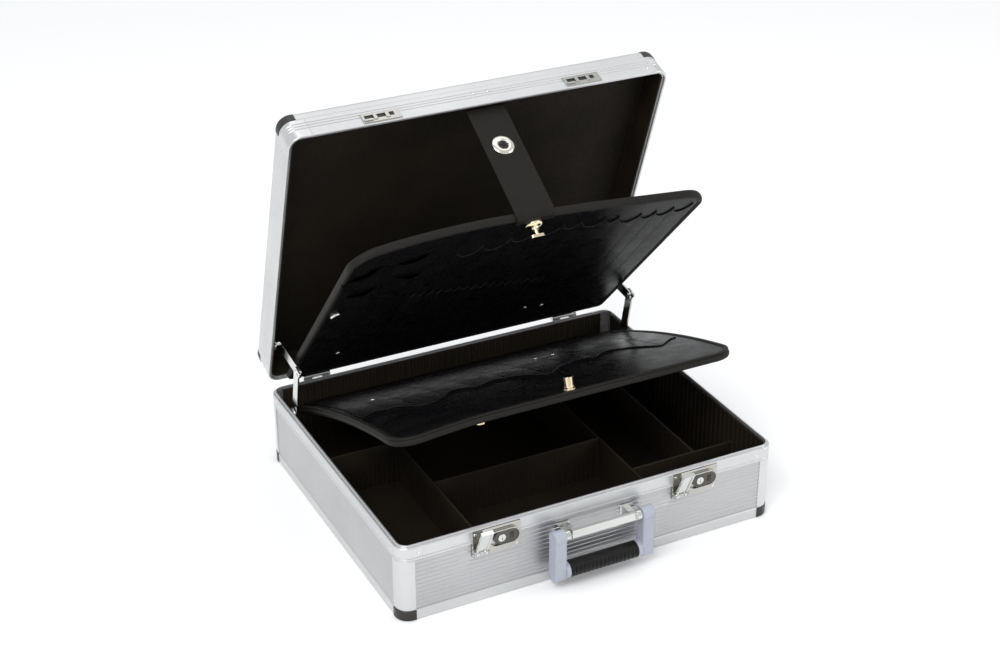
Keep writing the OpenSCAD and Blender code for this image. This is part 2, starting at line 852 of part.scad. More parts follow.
module lower_pallet_hinge() {
    a = lower_axis;
    wall_y = case_d / 2 - lining_in - rib_depth;
    color(vinyl) {
        axle(0, a, hinge_strip_w, hinge_roll_r);
        box_between([-hinge_strip_w / 2, a[0], a[1] - 0.7], [hinge_strip_w / 2, wall_y, a[1] + 0.7]);
        box_between([-hinge_strip_w / 2, wall_y - 1.4, divider_top + 0.4],
            [hinge_strip_w / 2, wall_y, a[1] + 2.2]);
    }
}

// ---------- pallets ----------
// Drawn with the hinge axis on X and the free edge towards -Y

module pallet_outline(width, start, reach, inset) {
    w = width - 2 * inset;
    front = reach - inset;
    rear = start + inset;
    rf = pallet_r - inset;
    rr = pallet_rear_r - inset;
    translate([-w / 2, -front + rf]) square([w, front - rf - rear - rr]);
    translate([-w / 2 + rf, -front]) square([w - 2 * rf, rf + 1]);
    translate([-w / 2 + rr, -rear - rr - 1]) square([w - 2 * rr, rr + 1]);
    for (side = [-1, 1]) {
        translate([side * (w / 2 - rf), -front + rf]) circle(rf);
        translate([side * (w / 2 - rr), -rear - rr]) circle(rr);
    }
}

// Top edge of a row of pockets, as a wave of half circles between two reaches
function pocket_edge(half, reach, waves, deep) =
    [for (i = [0 : 4 * waves]) let (x = -half + i * half / (2 * waves))
        [x, -reach + deep * abs(sin(i * 45))]];

module pocket_outline(half, start, reach, waves, deep) {
    polygon(concat([[half, -start], [-half, -start]], pocket_edge(half, reach, waves, deep)));
}

module upper_pallet_board() {
    color(vinyl) in_upper() translate([0, 0, upper_face]) linear_extrude(pallet_t - 2)
        pallet_outline(pallet_w, upper_start, upper_reach, edging_w);
}

module upper_pallet_edging() {
    color(edging_grey) in_upper() translate([0, 0, upper_face - 1]) linear_extrude(pallet_t)
        difference() {
            pallet_outline(pallet_w, upper_start, upper_reach, 0);
            pallet_outline(pallet_w, upper_start, upper_reach, edging_w);
        }
}

module upper_pallet_pockets() {
    color(vinyl) in_upper() translate([0, 0, upper_face - pocket_t]) linear_extrude(pocket_t)
        pocket_outline(pallet_w / 2 - 14, 30, 300, 9, 14);
}

module turn_button_seat() {
    hole_r = 2.5 + pin_play;
    color(brass_gold) in_upper() translate([0, -button_s, upper_face]) rotate_extrude()
        polygon([[hole_r, 0], [8.5, 0], [8.3, -0.9], [7, -2.2], [5, -3], [hole_r, -3.3]]);
}

module turn_button() {
    color(brass_gold) in_upper() translate([0, -button_s, upper_face - 12]) {
        cylinder(h = 12, r = 2.5);
        translate([-5.5, -2.5, 0]) cube([11, 5, 3.2]);
        for (side = [-1, 1]) translate([side * 5.5, 0, 0]) cylinder(h = 3.2, r = 2.5);
    }
}

// A shell that follows the lower pallet's bow, between two heights off its mid surface
module bowed(from, to) {
    intersection() {
        translate([0, -lower_reach / 2, lower_bow - bow_r]) rotate([0, 90, 0]) difference() {
            cylinder(h = pallet_w + 20, r = bow_r + to, center = true, $fn = 900);
            cylinder(h = pallet_w + 40, r = bow_r + from, center = true, $fn = 900);
        }
        translate([0, 0, -40]) linear_extrude(80) children();
    }
}

module lower_pallet_board() {
    color(vinyl) in_lower(lower_x) bowed(1 - pallet_t / 2, pallet_t / 2 - 1)
        pallet_outline(lower_w, lower_start, lower_reach, edging_w);
}

module lower_pallet_edging() {
    color(edging_grey) in_lower(lower_x) bowed(-pallet_t / 2, pallet_t / 2) difference() {
        pallet_outline(lower_w, lower_start, lower_reach, 0);
        pallet_outline(lower_w, lower_start, lower_reach, edging_w);
    }
}

module lower_pallet_pockets() {
    color(vinyl) in_lower(lower_x) bowed(pallet_t / 2 - 1, pallet_t / 2 - 1 + pocket_t)
        pocket_outline(lower_w / 2 - 14, 30, 232, 7, 16);
}

module lower_pallet_fittings() {
    end_tilt = asin((stud_s - lower_reach / 2) / bow_r);
    color(brass_gold) in_lower(lower_x)
        translate([0, -lower_reach / 2, lower_bow - bow_r]) rotate([end_tilt, 0, 0]) {
            translate([0, 0, bow_r + pallet_t / 2 - 1 + seat_gap]) {
                cylinder(h = 1.6, r = 7.5);
                cylinder(h = 15, r = 5.5);
                cylinder(h = 4.5, r = 6.1);
            }
            translate([snap_x, 0, bow_r - pallet_t / 2 + 1 - seat_gap]) rotate([180, 0, 0]) {
                cylinder(h = 1.2, r = 6.5);
                cylinder(h = 5, r = 5);
            }
        }
}

// ---------- drawing ----------

base_bottom_rails();
base_corner_caps();
base_corner_posts();
base_rim_rails();
base_rim_corners();
base_front_panel();
base_back_panel();
base_side_panels();
base_floor_panel();
base_rivets();
base_wall_lining();
base_floor_lining();
long_dividers();
cross_dividers();
hinge_base_leaves();
hinge_pins();
stay_base_brackets();
latch_plates();
latch_hasp_pins();
latch_springs();
handle_bracket();
handle_pivot_pins();
lower_pallet_hinge();
stay_lower_link_left();
stay_lower_link_right();
stay_upper_link_left();
stay_upper_link_right();
stay_knee_rivet_left();
stay_knee_rivet_right();
latch_hasp_left();
latch_hasp_right();
latch_slide_left();
latch_slide_right();
latch_cylinder_left();
latch_cylinder_right();
handle_arms();
handle_grip();
handle_core_rod();
lid_rim_rails();
lid_corner_pieces();
lid_top_rails();
lid_corner_caps();
lid_top_panel();
lid_lining();
lid_strikes();
lid_rivets();
lid_hinge_leaves();
stay_lid_brackets();
strap();
strap_eyelet();
upper_pallet_hinge();
upper_pallet_board();
upper_pallet_edging();
upper_pallet_pockets();
turn_button_seat();
turn_button();
lower_pallet_board();
lower_pallet_edging();
lower_pallet_pockets();
lower_pallet_fittings();
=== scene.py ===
"""Looks of the aluminium-framed tool case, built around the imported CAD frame. Metres, in the row frame."""
import json
import math

import bmesh
import bpy
import numpy as np
from mathutils import Matrix, Vector


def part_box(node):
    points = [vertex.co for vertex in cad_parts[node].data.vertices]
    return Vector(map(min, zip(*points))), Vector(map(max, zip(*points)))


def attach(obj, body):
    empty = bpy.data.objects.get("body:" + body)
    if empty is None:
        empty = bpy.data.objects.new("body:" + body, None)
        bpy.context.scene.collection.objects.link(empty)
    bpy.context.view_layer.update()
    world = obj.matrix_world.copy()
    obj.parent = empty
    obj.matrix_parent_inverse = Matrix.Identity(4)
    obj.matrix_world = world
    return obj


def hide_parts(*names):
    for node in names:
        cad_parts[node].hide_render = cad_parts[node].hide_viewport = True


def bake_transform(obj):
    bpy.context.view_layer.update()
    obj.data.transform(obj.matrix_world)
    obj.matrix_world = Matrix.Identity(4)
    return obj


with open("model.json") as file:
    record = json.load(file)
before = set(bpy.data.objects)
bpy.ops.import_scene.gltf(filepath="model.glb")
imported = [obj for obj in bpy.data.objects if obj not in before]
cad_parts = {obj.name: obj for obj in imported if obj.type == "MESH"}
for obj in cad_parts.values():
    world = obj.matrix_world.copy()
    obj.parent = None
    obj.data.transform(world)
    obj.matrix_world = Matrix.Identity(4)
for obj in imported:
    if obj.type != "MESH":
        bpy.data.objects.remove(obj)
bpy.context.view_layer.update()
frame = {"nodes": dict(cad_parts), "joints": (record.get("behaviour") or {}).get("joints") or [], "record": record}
scene = bpy.context.scene
MM = 0.001

# Values repeated from the CAD source, in mm and degrees
LID_OPEN, UPPER_TILT, LOWER_TILT = 70.6, 48.0, 21.9
UPPER_REACH, LOWER_REACH, LOWER_BOW = 347.0, 321.0, 9.0
UPPER_W, LOWER_W, LOWER_X = 424.0, 420.0, 6.0
PALLET_T, FRONT_R, REAR_R = 9.0, 30.0, 8.0
UPPER_START, LOWER_START, UPPER_OFFSET = 6.0, 4.2, -8.0
STRAP_W = 46.0

# Values of this script only, in mm
EYELET_DROP = 8.0  # the ring sits this much further down the strap than the CAD eyelet
HINGE_HALF = 190.0
GRIP_RIBS = 17


def joint_at(name):
    """(y, z) of a joint's axis, in mm."""
    pos = next(j["pos_m"] for j in frame["joints"] if j["name"] == name)
    return pos[1] / MM, pos[2] / MM


LID_AXIS = joint_at("lid_hinge")
UPPER_AXIS = joint_at("upper_pallet_fold")
LOWER_AXIS = joint_at("lower_pallet_fold")


# ---------- camera, light and floor ----------

def make_camera():
    azimuth, elevation, roll = math.radians(26.67), math.radians(28.177), math.radians(-0.162)
    data = bpy.data.cameras.new("camera")
    data.sensor_width = 36
    data.lens = 67.18
    data.clip_end = 50
    cam = bpy.data.objects.new("camera", data)
    scene.collection.objects.link(cam)
    look = Vector((math.sin(azimuth) * math.cos(elevation), math.cos(azimuth) * math.cos(elevation),
                   -math.sin(elevation)))
    cam.rotation_mode = "QUATERNION"
    level = look.to_track_quat("-Z", "Y")
    cam.rotation_quaternion = level @ Matrix.Rotation(roll, 3, "Z").to_quaternion()
    cam.location = (-0.84416, -1.64224, 1.18747)
    scene.camera = cam


def area_light(name, place, target, size, power, colour=(1, 1, 1)):
    data = bpy.data.lights.new(name, "AREA")
    data.shape, data.size, data.size_y = "RECTANGLE", size[0], size[1]
    data.energy, data.color = power, colour
    lamp = bpy.data.objects.new(name, data)
    scene.collection.objects.link(lamp)
    lamp.location = place
    lamp.rotation_mode = "QUATERNION"
    lamp.rotation_quaternion = (Vector(target) - Vector(place)).to_track_quat("-Z", "Y")


def make_stage():
    world = bpy.data.worlds.new("studio")
    scene.world = world
    world.use_nodes = True
    background = world.node_tree.nodes["Background"]
    background.inputs["Color"].default_value = (0.97, 0.985, 1.0, 1)
    background.inputs["Strength"].default_value = 0.80
    area_light("key", (-1.5, -1.2, 2.3), (0, 0, 0.1), (1.6, 1.2), 36)
    area_light("top", (0.3, 0.6, 2.6), (0, 0, 0.1), (2.2, 1.6), 10)
    area_light("right", (2.0, -1.4, 1.2), (0, 0, 0.15), (1.2, 1.2), 11)
    bpy.ops.mesh.primitive_plane_add(size=16, location=(0, 2, 0))
    floor = bpy.context.object
    floor.name = "studio_floor"
    mat, out = new_material("floor_white")
    bsdf = out["bsdf"]
    bsdf.inputs["Base Color"].default_value = (0.98, 0.98, 0.98, 1)
    bsdf.inputs["Roughness"].default_value = 0.9
    floor.data.materials.append(mat)
    scene.view_settings.view_transform = "Standard"
    scene.view_settings.look = "None"


# ---------- materials ----------

def new_material(name):
    mat = bpy.data.materials.new(name)
    mat.use_nodes = True
    tree = mat.node_tree
    bsdf = next(n for n in tree.nodes if n.type == "BSDF_PRINCIPLED")
    return mat, {"tree": tree, "bsdf": bsdf}


def node(m, kind, **values):
    made = m["tree"].nodes.new(kind)
    for key, value in values.items():
        if key in made.inputs:
            made.inputs[key].default_value = value
        else:
            setattr(made, key, value)
    return made


def link(m, a, b):
    m["tree"].links.new(a, b)


def coordinates(m, stretch=(1, 1, 1)):
    """Object coordinates, stretched for a grain that runs one way."""
    place = node(m, "ShaderNodeTexCoord")
    mapping = node(m, "ShaderNodeMapping")
    mapping.inputs["Scale"].default_value = stretch
    link(m, place.outputs["Object"], mapping.inputs["Vector"])
    return mapping.outputs["Vector"]


def noise(m, scale, detail=4.0, stretch=(1, 1, 1), rough=0.5):
    made = node(m, "ShaderNodeTexNoise", Scale=scale, Detail=detail, Roughness=rough)
    link(m, coordinates(m, stretch), made.inputs["Vector"])
    return made.outputs["Fac"]


def grey(v):
    return (v, v, v)


def spread(m, factor, low, high, start=0.3, end=0.7):
    made = node(m, "ShaderNodeMapRange")
    made.inputs["From Min"].default_value = start
    made.inputs["From Max"].default_value = end
    made.inputs["To Min"].default_value = low
    made.inputs["To Max"].default_value = high
    link(m, factor, made.inputs["Value"])
    return made.outputs["Result"]


def bump(m, height, strength, distance, normal=None):
    made = node(m, "ShaderNodeBump", Strength=strength, Distance=distance)
    link(m, height, made.inputs["Height"])
    if normal is not None:
        link(m, normal, made.inputs["Normal"])
    return made.outputs["Normal"]


def rounded_edges(m, radius):
    made = node(m, "ShaderNodeBevel", Radius=radius)
    made.samples = 6
    return made.outputs["Normal"]


def edge_mask(m, radius, low=0.02, high=0.25):
    """1 near an edge: where a wide bevel turns the normal away from the face's own. Used to lighten edges, partly as
    wear and partly as a painted highlight.
    """
    bevel = node(m, "ShaderNodeBevel", Radius=radius)
    bevel.samples = 4
    geometry = node(m, "ShaderNodeNewGeometry")
    dot = node(m, "ShaderNodeVectorMath", operation="DOT_PRODUCT")
    link(m, bevel.outputs["Normal"], dot.inputs[0])
    link(m, geometry.outputs["Normal"], dot.inputs[1])
    return spread(m, dot.outputs["Value"], 1, 0, 1 - high, 1 - low)


def mixed(m, factor, a, b):
    """Colour a turning to colour b; each is a socket or a plain colour."""
    made = node(m, "ShaderNodeMix", data_type="RGBA")
    link(m, factor, made.inputs["Factor"])
    for socket, value in ((made.inputs[6], a), (made.inputs[7], b)):
        if isinstance(value, tuple):
            socket.default_value = (*value, 1)
        else:
            link(m, value, socket)
    return made.outputs[2]


def metal(name, light, dark, rough, grain=(1, 1, 1), grain_scale=60, edge=0.0004, metallic=1.0,
          bump_strength=0.05):
    mat, m = new_material(name)
    bsdf = m["bsdf"]
    streaks = noise(m, grain_scale, 5, grain, 0.6)
    clouds = noise(m, 9, 3)
    # edges lightened, partly rubbed wear and partly a painted highlight
    edge_wear_and_highlight = edge_mask(m, min(edge * 2.5, 0.001))
    base = mixed(m, spread(m, clouds, 0, 1, 0.35, 0.65), dark, light)
    link(m, mixed(m, edge_wear_and_highlight, base, tuple(min(1.0, v * 1.08) for v in light)), bsdf.inputs["Base Color"])
    bsdf.inputs["Metallic"].default_value = metallic
    link(m, spread(m, streaks, rough * 0.85, rough * 1.2), bsdf.inputs["Roughness"])
    link(m, bump(m, streaks, bump_strength, 0.0002, rounded_edges(m, edge)), bsdf.inputs["Normal"])
    return mat


def plastic(name, light, dark, rough, grain_scale=900, grain_bump=0.06, edge=0.0006, coat=0.0, specular=0.4):
    mat, m = new_material(name)
    bsdf = m["bsdf"]
    clouds = noise(m, 22, 3)
    fine = noise(m, grain_scale, 2)
    link(m, mixed(m, spread(m, clouds, 0, 1), dark, light), bsdf.inputs["Base Color"])
    link(m, spread(m, clouds, rough * 0.85, rough * 1.15), bsdf.inputs["Roughness"])
    bsdf.inputs["Coat Weight"].default_value = coat
    bsdf.inputs["Specular IOR Level"].default_value = specular
    link(m, bump(m, fine, grain_bump, 0.0002, rounded_edges(m, edge)), bsdf.inputs["Normal"])
    return mat


def lining(name, light, dark, rough=0.7, edge_wear_highlight_colour=None, specular=0.25):
    """Lining cloth: a fine fibrous grain, faint blotches, and lighter edges, partly rubbed wear and partly a painted
    highlight.
    """
    mat, m = new_material(name)
    bsdf = m["bsdf"]
    fine = noise(m, 1400, 3)
    fibres = noise(m, 420, 4, (1, 1, 0.35))
    blotch = noise(m, 14, 4)
    base = mixed(m, spread(m, fine, 0, 1, 0.35, 0.65), dark, light)
    base = mixed(m, spread(m, blotch, 0, 0.5, 0.4, 0.7), base, tuple(v * 1.5 for v in light))
    # lighter edges: partly rubbed wear, partly a painted highlight
    if edge_wear_highlight_colour:
        base = mixed(m, edge_mask(m, 0.0012), base, edge_wear_highlight_colour)
    link(m, base, bsdf.inputs["Base Color"])
    link(m, spread(m, fibres, rough * 0.85, rough * 1.15), bsdf.inputs["Roughness"])
    bsdf.inputs["Specular IOR Level"].default_value = specular
    link(m, bump(m, fibres, 0.35, 0.0003, bump(m, fine, 0.3, 0.0002)), bsdf.inputs["Normal"])
    return mat


def leather(name, light, dark, rough=0.22, grain_bump=0.12, ripple=0.25, specular=0.14):
    """Artificial leather: a fine pebble grain under a glossy film, with a slow unevenness."""
    mat, m = new_material(name)
    bsdf = m["bsdf"]
    pebble = node(m, "ShaderNodeTexVoronoi", feature="DISTANCE_TO_EDGE", Scale=780)
    link(m, coordinates(m), pebble.inputs["Vector"])
    grain = spread(m, pebble.outputs["Distance"], 0, 1, 0.0, 0.2)
    slow = noise(m, 16, 2)
    wear = noise(m, 45, 5)
    link(m, mixed(m, spread(m, wear, 0, 1), dark, light), bsdf.inputs["Base Color"])
    link(m, spread(m, wear, rough * 0.8, rough * 1.35), bsdf.inputs["Roughness"])
    bsdf.inputs["Specular IOR Level"].default_value = specular
    first = bump(m, slow, ripple, 0.004)
    link(m, bump(m, grain, grain_bump, 0.0002, first), bsdf.inputs["Normal"])
    return mat


def tape(name, light, dark, rough=0.62):
    """Woven binding tape: crossed fine threads."""
    mat, m = new_material(name)
    bsdf = m["bsdf"]
    threads = []
    for direction in ("X", "Y", "Z"):
        wave = node(m, "ShaderNodeTexWave", wave_type="BANDS", bands_direction=direction, Scale=330)
        wave.inputs["Distortion"].default_value = 0.6
        link(m, coordinates(m), wave.inputs["Vector"])
        threads.append(wave.outputs["Fac"])
    first = node(m, "ShaderNodeMath", operation="MAXIMUM")
    link(m, threads[0], first.inputs[0])
    link(m, threads[1], first.inputs[1])
    weave = node(m, "ShaderNodeMath", operation="MULTIPLY")
    link(m, first.outputs[0], weave.inputs[0])
    link(m, threads[2], weave.inputs[1])
    fuzz = noise(m, 900, 3)
    link(m, mixed(m, spread(m, fuzz, 0, 1), dark, light), bsdf.inputs["Base Color"])
    link(m, spread(m, fuzz, rough * 0.85, rough * 1.15), bsdf.inputs["Roughness"])
    bsdf.inputs["Specular IOR Level"].default_value = 0.25
    link(m, bump(m, weave.outputs[0], 0.3, 0.0003, bump(m, fuzz, 0.2, 0.0002)), bsdf.inputs["Normal"])
    return mat


ALONG_X, ALONG_Y, ALONG_Z = (0.03, 1, 1), (1, 0.03, 1), (1, 1, 0.03)
LOOKS = {
    "aluminium_frame": metal("frame_aluminium", (0.64, 0.645, 0.65), (0.58, 0.585, 0.59),
                             0.38, ALONG_Y, 260, 0.0004, 0.8),
    "aluminium_panel": metal("panel_aluminium", (0.52, 0.522, 0.53), (0.46, 0.462, 0.47),
                             0.36, ALONG_X, 300, 0.0004, 0.88),
    "bright_corner": metal("corner_aluminium", (0.66, 0.665, 0.67), (0.60, 0.605, 0.61),
                           0.3, ALONG_Z, 200, 0.0014, 0.8),
    "steel_bright": metal("bright_steel", grey(0.74), grey(0.66), 0.2, (1, 1, 1), 300, 0.0003),
    "chrome_plate": metal("chrome", (0.70, 0.705, 0.69), (0.62, 0.62, 0.60), 0.13, (1, 1, 1),
                          500, 0.0004, 1.0, 0.02),
    "brass_plate": metal("pale_brass", (0.90, 0.79, 0.58), (0.80, 0.66, 0.42), 0.14, (1, 1, 1),
                         500, 0.0005, 1.0, 0.02),
    "black_plastic": plastic("cap_plastic", (0.030, 0.027, 0.024), (0.018, 0.016, 0.015), 0.34),
    "grey_plastic": plastic("lavender_plastic", (0.40, 0.42, 0.485), (0.36, 0.38, 0.445),
                            0.3, 700, 0.03, 0.0022, 0.2),
    "black_rubber": plastic("grip_rubber", (0.0065, 0.0052, 0.0045), (0.0035, 0.003, 0.0026),
                            0.34, 700, 0.05, 0.0006, 0.0, 0.25),
    "hardboard": plastic("black_hardboard", (0.035, 0.03, 0.026), (0.02, 0.018, 0.016), 0.75, 500, 0.3),
    "black_lining": lining("lining_cloth", (0.0175, 0.0133, 0.0088), (0.0085, 0.0065, 0.0044),
                           0.7, (0.06, 0.05, 0.038), 0.16),
    "black_vinyl": leather("black_leathercloth", (0.007, 0.007, 0.0075), (0.004, 0.004, 0.0045),
                           0.26, 0.005, 0.04, 0.06),
    "edge_binding": tape("binding_tape", (0.0098, 0.0085, 0.0067), (0.0048, 0.0041, 0.0033)),
}
STRAP_LOOK = leather("strap_leathercloth", (0.014, 0.0118, 0.0098), (0.009, 0.0075, 0.0063),
                     0.5, 0.25, 0.05, 0.15)
POCKET_LOOK = leather("pocket_leathercloth", (0.007, 0.007, 0.0075), (0.004, 0.004, 0.0045),
                      0.26, 0.004, 0.04, 0.05)
THREAD_LOOK = tape("sewing_thread", (0.020, 0.0185, 0.016), (0.011, 0.010, 0.009), 0.55)
# lighter tape colour for the pockets' top edge: a painted highlight
EDGE_HIGHLIGHT_LOOK = tape("pocket_edge_highlight", (0.022, 0.0225, 0.024), (0.013, 0.0135, 0.014), 0.4)
NICKEL_LOOK = metal("warm_nickel", (0.76, 0.73, 0.66), (0.68, 0.64, 0.56), 0.16, (1, 1, 1),
                    500, 0.0004, 1.0, 0.02)
# flat black for painted shade: the strike slots' hollows and the eyelet's hole
PAINTED_SHADE_LOOK = plastic("painted_shade_black", (0.012, 0.012, 0.012), (0.006, 0.006, 0.006), 0.2, 600, 0.03, 0.0005)
LATCH_LOOK = metal("latch_chrome", (0.52, 0.51, 0.48), (0.42, 0.41, 0.385), 0.15, (1, 1, 1),
                   500, 0.0004, 1.0, 0.03)
# near-black chrome for the latch slides: a painted dark reflection
DARK_REFLECTION_LOOK = metal("chrome_painted_dark_reflection", (0.12, 0.117, 0.11), (0.075, 0.073, 0.068), 0.2, (1, 1, 1),
                    500, 0.0004, 1.0, 0.02)
OWN_LOOKS = {"latch_plates": LATCH_LOOK, "lid_strikes": LATCH_LOOK, "latch_slide_left": DARK_REFLECTION_LOOK,
             "latch_slide_right": DARK_REFLECTION_LOOK}


def dress_cad():
    """Gives each carried-over CAD node its own look, or its slot's."""
    for part in frame["record"]["subparts"]:
        obj = frame["nodes"][part["node"]]
        obj.data.materials.clear()
        obj.data.materials.append(OWN_LOOKS.get(part["node"], LOOKS[part["material_slot"]]))


# ---------- mesh helpers ----------

def mesh_object(name, verts, faces, look, smooth=True):
    """A mesh from points in mm."""
    data = bpy.data.meshes.new(name)
    data.from_pydata([tuple(c * MM for c in v) for v in verts], [], faces)
    data.validate()
    data.materials.append(look)
    for polygon in data.polygons:
        polygon.use_smooth = smooth
    obj = bpy.data.objects.new(name, data)
    scene.collection.objects.link(obj)
    return obj


def sharpen(obj, degrees=35):
    """Marks the sharp edges, so that smooth shading stops there."""
    bpy.context.view_layer.objects.active = obj
    obj.select_set(True)
    bpy.ops.object.shade_smooth_by_angle(angle=math.radians(degrees))
    obj.select_set(False)


def fix_normals(obj):
    made = bmesh.new()
    made.from_mesh(obj.data)
    bmesh.ops.recalc_face_normals(made, faces=made.faces)
    made.to_mesh(obj.data)
    made.free()


def grid_faces(columns, rows, first=0, wrap=False):
    """Faces of a grid of columns x rows points, stored column by column."""
    faces = []
    for i in range(columns if wrap else columns - 1):
        a, b = first + i * rows, first + ((i + 1) % columns) * rows
        faces += [(a + j, b + j, b + j + 1, a + j + 1) for j in range(rows - 1)]
    return faces


def tube_faces(rings, sides, closed):
    faces = []
    for i in range(rings if closed else rings - 1):
        a, b = i * sides, ((i + 1) % rings) * sides
        faces += [(a + j, b + j, b + (j + 1) % sides, a + (j + 1) % sides) for j in range(sides)]
    if not closed:
        faces += [tuple(range(sides))[::-1], tuple(range((rings - 1) * sides, rings * sides))]
    return faces


# ---------- pallets ----------

class Pallet:
    """A pallet's own coordinates: x across, s from the hinge axis towards the free edge, o off the hinge plane."""

    def __init__(self, body, axis, tilt, width, middle, reach, start, offset, lift, face):
        self.body, self.axis, self.tilt, self.width, self.middle = body, axis, math.radians(tilt), width, middle
        self.reach, self.start, self.offset, self.lift, self.face = reach, start, offset, lift, face

    def at(self, x, s, o):
        """Point in mm; o is measured from the board's own mid surface, and its face side is positive."""
        o = self.offset + self.lift(x, s) + self.face * o
        y = self.axis[0] - s * math.cos(self.tilt) + o * math.sin(self.tilt)
        return (x + self.middle, y, self.axis[1] + s * math.sin(self.tilt) + o * math.cos(self.tilt))

    def normal(self):
        """Direction off the face side."""
        return np.array(self.at(0, 100, 1)) - np.array(self.at(0, 100, 0))

    def outline(self, inset, step=4.0):
        """Closed outline as (x, s, outward x, outward s), moved in by inset."""
        half, points = self.width / 2, []
        corners = [(1, self.start + REAR_R, REAR_R, 270), (1, self.reach - FRONT_R, FRONT_R, 0),
                   (-1, self.reach - FRONT_R, FRONT_R, 90), (-1, self.start + REAR_R, REAR_R, 180)]
        arcs = []
        for side, s, r, first in corners:
            count = 5 if r < 10 else 12
            arc = []
            for k in range(count + 1):
                a = math.radians(first + 90 * k / count)
                arc.append((side * (half - r) + (r - inset) * math.cos(a), s + (r - inset) * math.sin(a),
                            math.cos(a), math.sin(a)))
            arcs.append(arc)
        for arc, following in zip(arcs, arcs[1:] + arcs[:1]):
            points += arc
            a, b = arc[-1], following[0]
            count = max(2, int(math.hypot(b[0] - a[0], b[1] - a[1]) / step))
            points += [(a[0] + (b[0] - a[0]) * k / count, a[1] + (b[1] - a[1]) * k / count, a[2], a[3])
                       for k in range(1, count)]
        return points


def upper_lift(x, s):
    """The strap draws the middle of the free edge back, and the board is a little twisted."""
    pulled = 16 - 0.0471 * x - 2.559e-4 * x * x + 5.75e-7 * x ** 3
    return (pulled - 9.1) * s / UPPER_REACH


BOW_R = (LOWER_REACH ** 2 / 4 + LOWER_BOW ** 2) / (2 * LOWER_BOW)


def lower_lift(x, s):
    """The bowed board, with its front left corner hanging a little."""
    droop = 7.5 * max(0.0, (-x - 100) / 110) ** 1.5 * (s / LOWER_REACH) ** 2
    return -droop + math.sqrt(BOW_R ** 2 - (s - LOWER_REACH / 2) ** 2) + LOWER_BOW - BOW_R


UPPER = Pallet("upper_pallet", UPPER_AXIS, UPPER_TILT, UPPER_W, 0.0, UPPER_REACH, UPPER_START,
               UPPER_OFFSET, upper_lift, -1)
LOWER = Pallet("lower_pallet", LOWER_AXIS, LOWER_TILT, LOWER_W, LOWER_X, LOWER_REACH, LOWER_START,
               0.0, lower_lift, 1)


def board(pallet, name, half_t, inset, replaced):
    """The covered board: two faces filled from the outline inwards, joined by a rounded edge."""
    rim = pallet.outline(inset)
    centre = (0.0, (pallet.start + pallet.reach) / 2)
    profile = [(0.0, -half_t + 0.8), (0.0, half_t - 0.8)]
    shrink = [1.0, 0.93, 0.8, 0.65, 0.5, 0.35, 0.2, 0.08]
    verts, faces, rows = [], [], []

    def ring(scale, o, out=0.0):
        first = len(verts)
        for x, s, nx, ns in rim:
            px, ps = x - nx * out, s - ns * out
            verts.append(pallet.at(centre[0] + (px - centre[0]) * scale, centre[1] + (ps - centre[1]) * scale, o))
        rows.append(first)

    for scale in reversed(shrink):
        ring(scale, -half_t, 0.8 if scale == 1.0 else 0.0)
    for out, o in profile:
        ring(1.0, o, out)
    for scale in shrink:
        ring(scale, half_t, 0.8 if scale == 1.0 else 0.0)
    n = len(rim)
    for a, b in zip(rows, rows[1:]):
        faces += [(a + j, a + (j + 1) % n, b + (j + 1) % n, b + j) for j in range(n)]
    faces.append(tuple(range(rows[0], rows[0] + n))[::-1])
    faces.append(tuple(range(rows[-1], rows[-1] + n)))
    obj = mesh_object(name, verts, faces, LOOKS["black_vinyl"])
    fix_normals(obj)
    sharpen(obj, 40)
    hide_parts(replaced)
    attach(obj, pallet.body)


def binding(pallet, name, section, replaced):
    """Binding tape folded over the board's edge: a section of (inward depth, offset) swept round the outline."""
    rim = pallet.outline(0, 3.0)
    verts = []
    for x, s, nx, ns in rim:
        for depth, o in section:
            verts.append(pallet.at(x - nx * depth, s - ns * depth, o))
    obj = mesh_object(name, verts, tube_faces(len(rim), len(section), True), LOOKS["edge_binding"])
    fix_normals(obj)
    sharpen(obj, 60)
    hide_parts(replaced)
    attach(obj, pallet.body)


def stitch(verts, faces, a, b, normal, width=0.55, height=0.45):
    """One stitch from a to b: a small rounded loop of thread standing off the cloth."""
    a, b, up = Vector(a), Vector(b), Vector(normal).normalized()
    along = b - a
    side = along.cross(up).normalized() * width / 2
    first = len(verts)
    for t, rise in ((0.0, 0.0), (0.2, 0.8), (0.5, 1.0), (0.8, 0.8), (1.0, 0.0)):
        p = a + along * t
        lift = up * height * rise
        verts.extend([tuple(p + side), tuple(p + lift + side * 0.5), tuple(p + lift - side * 0.5), tuple(p - side)])
    for i in range(4):
        k = first + 4 * i
        faces.extend([(k + j, k + 4 + j, k + 5 + j, k + 1 + j) for j in range(3)])


def stitches(pallet, name, inset, o, pitch=3.6, gap=1.1):
    """A row of stitches round the pallet, on its face side."""
    rim = pallet.outline(inset, 1.2)
    places = [np.array(pallet.at(x, s, o)) for x, s, _, _ in rim]
    lengths = np.cumsum([0] + [float(np.linalg.norm(b - a)) for a, b in zip(places, places[1:] + places[:1])])
    loop = np.array(places + places[:1])
    face_normal = pallet.normal()
    verts, faces = [], []
    for k in range(int(lengths[-1] / pitch)):
        ends = [[float(np.interp(d, lengths, loop[:, c])) for c in range(3)]
                for d in (k * pitch, (k + 1) * pitch - gap)]
        stitch(verts, faces, ends[0], ends[1], face_normal)
    obj = mesh_object(name, verts, faces, THREAD_LOOK)
    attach(obj, pallet.body)


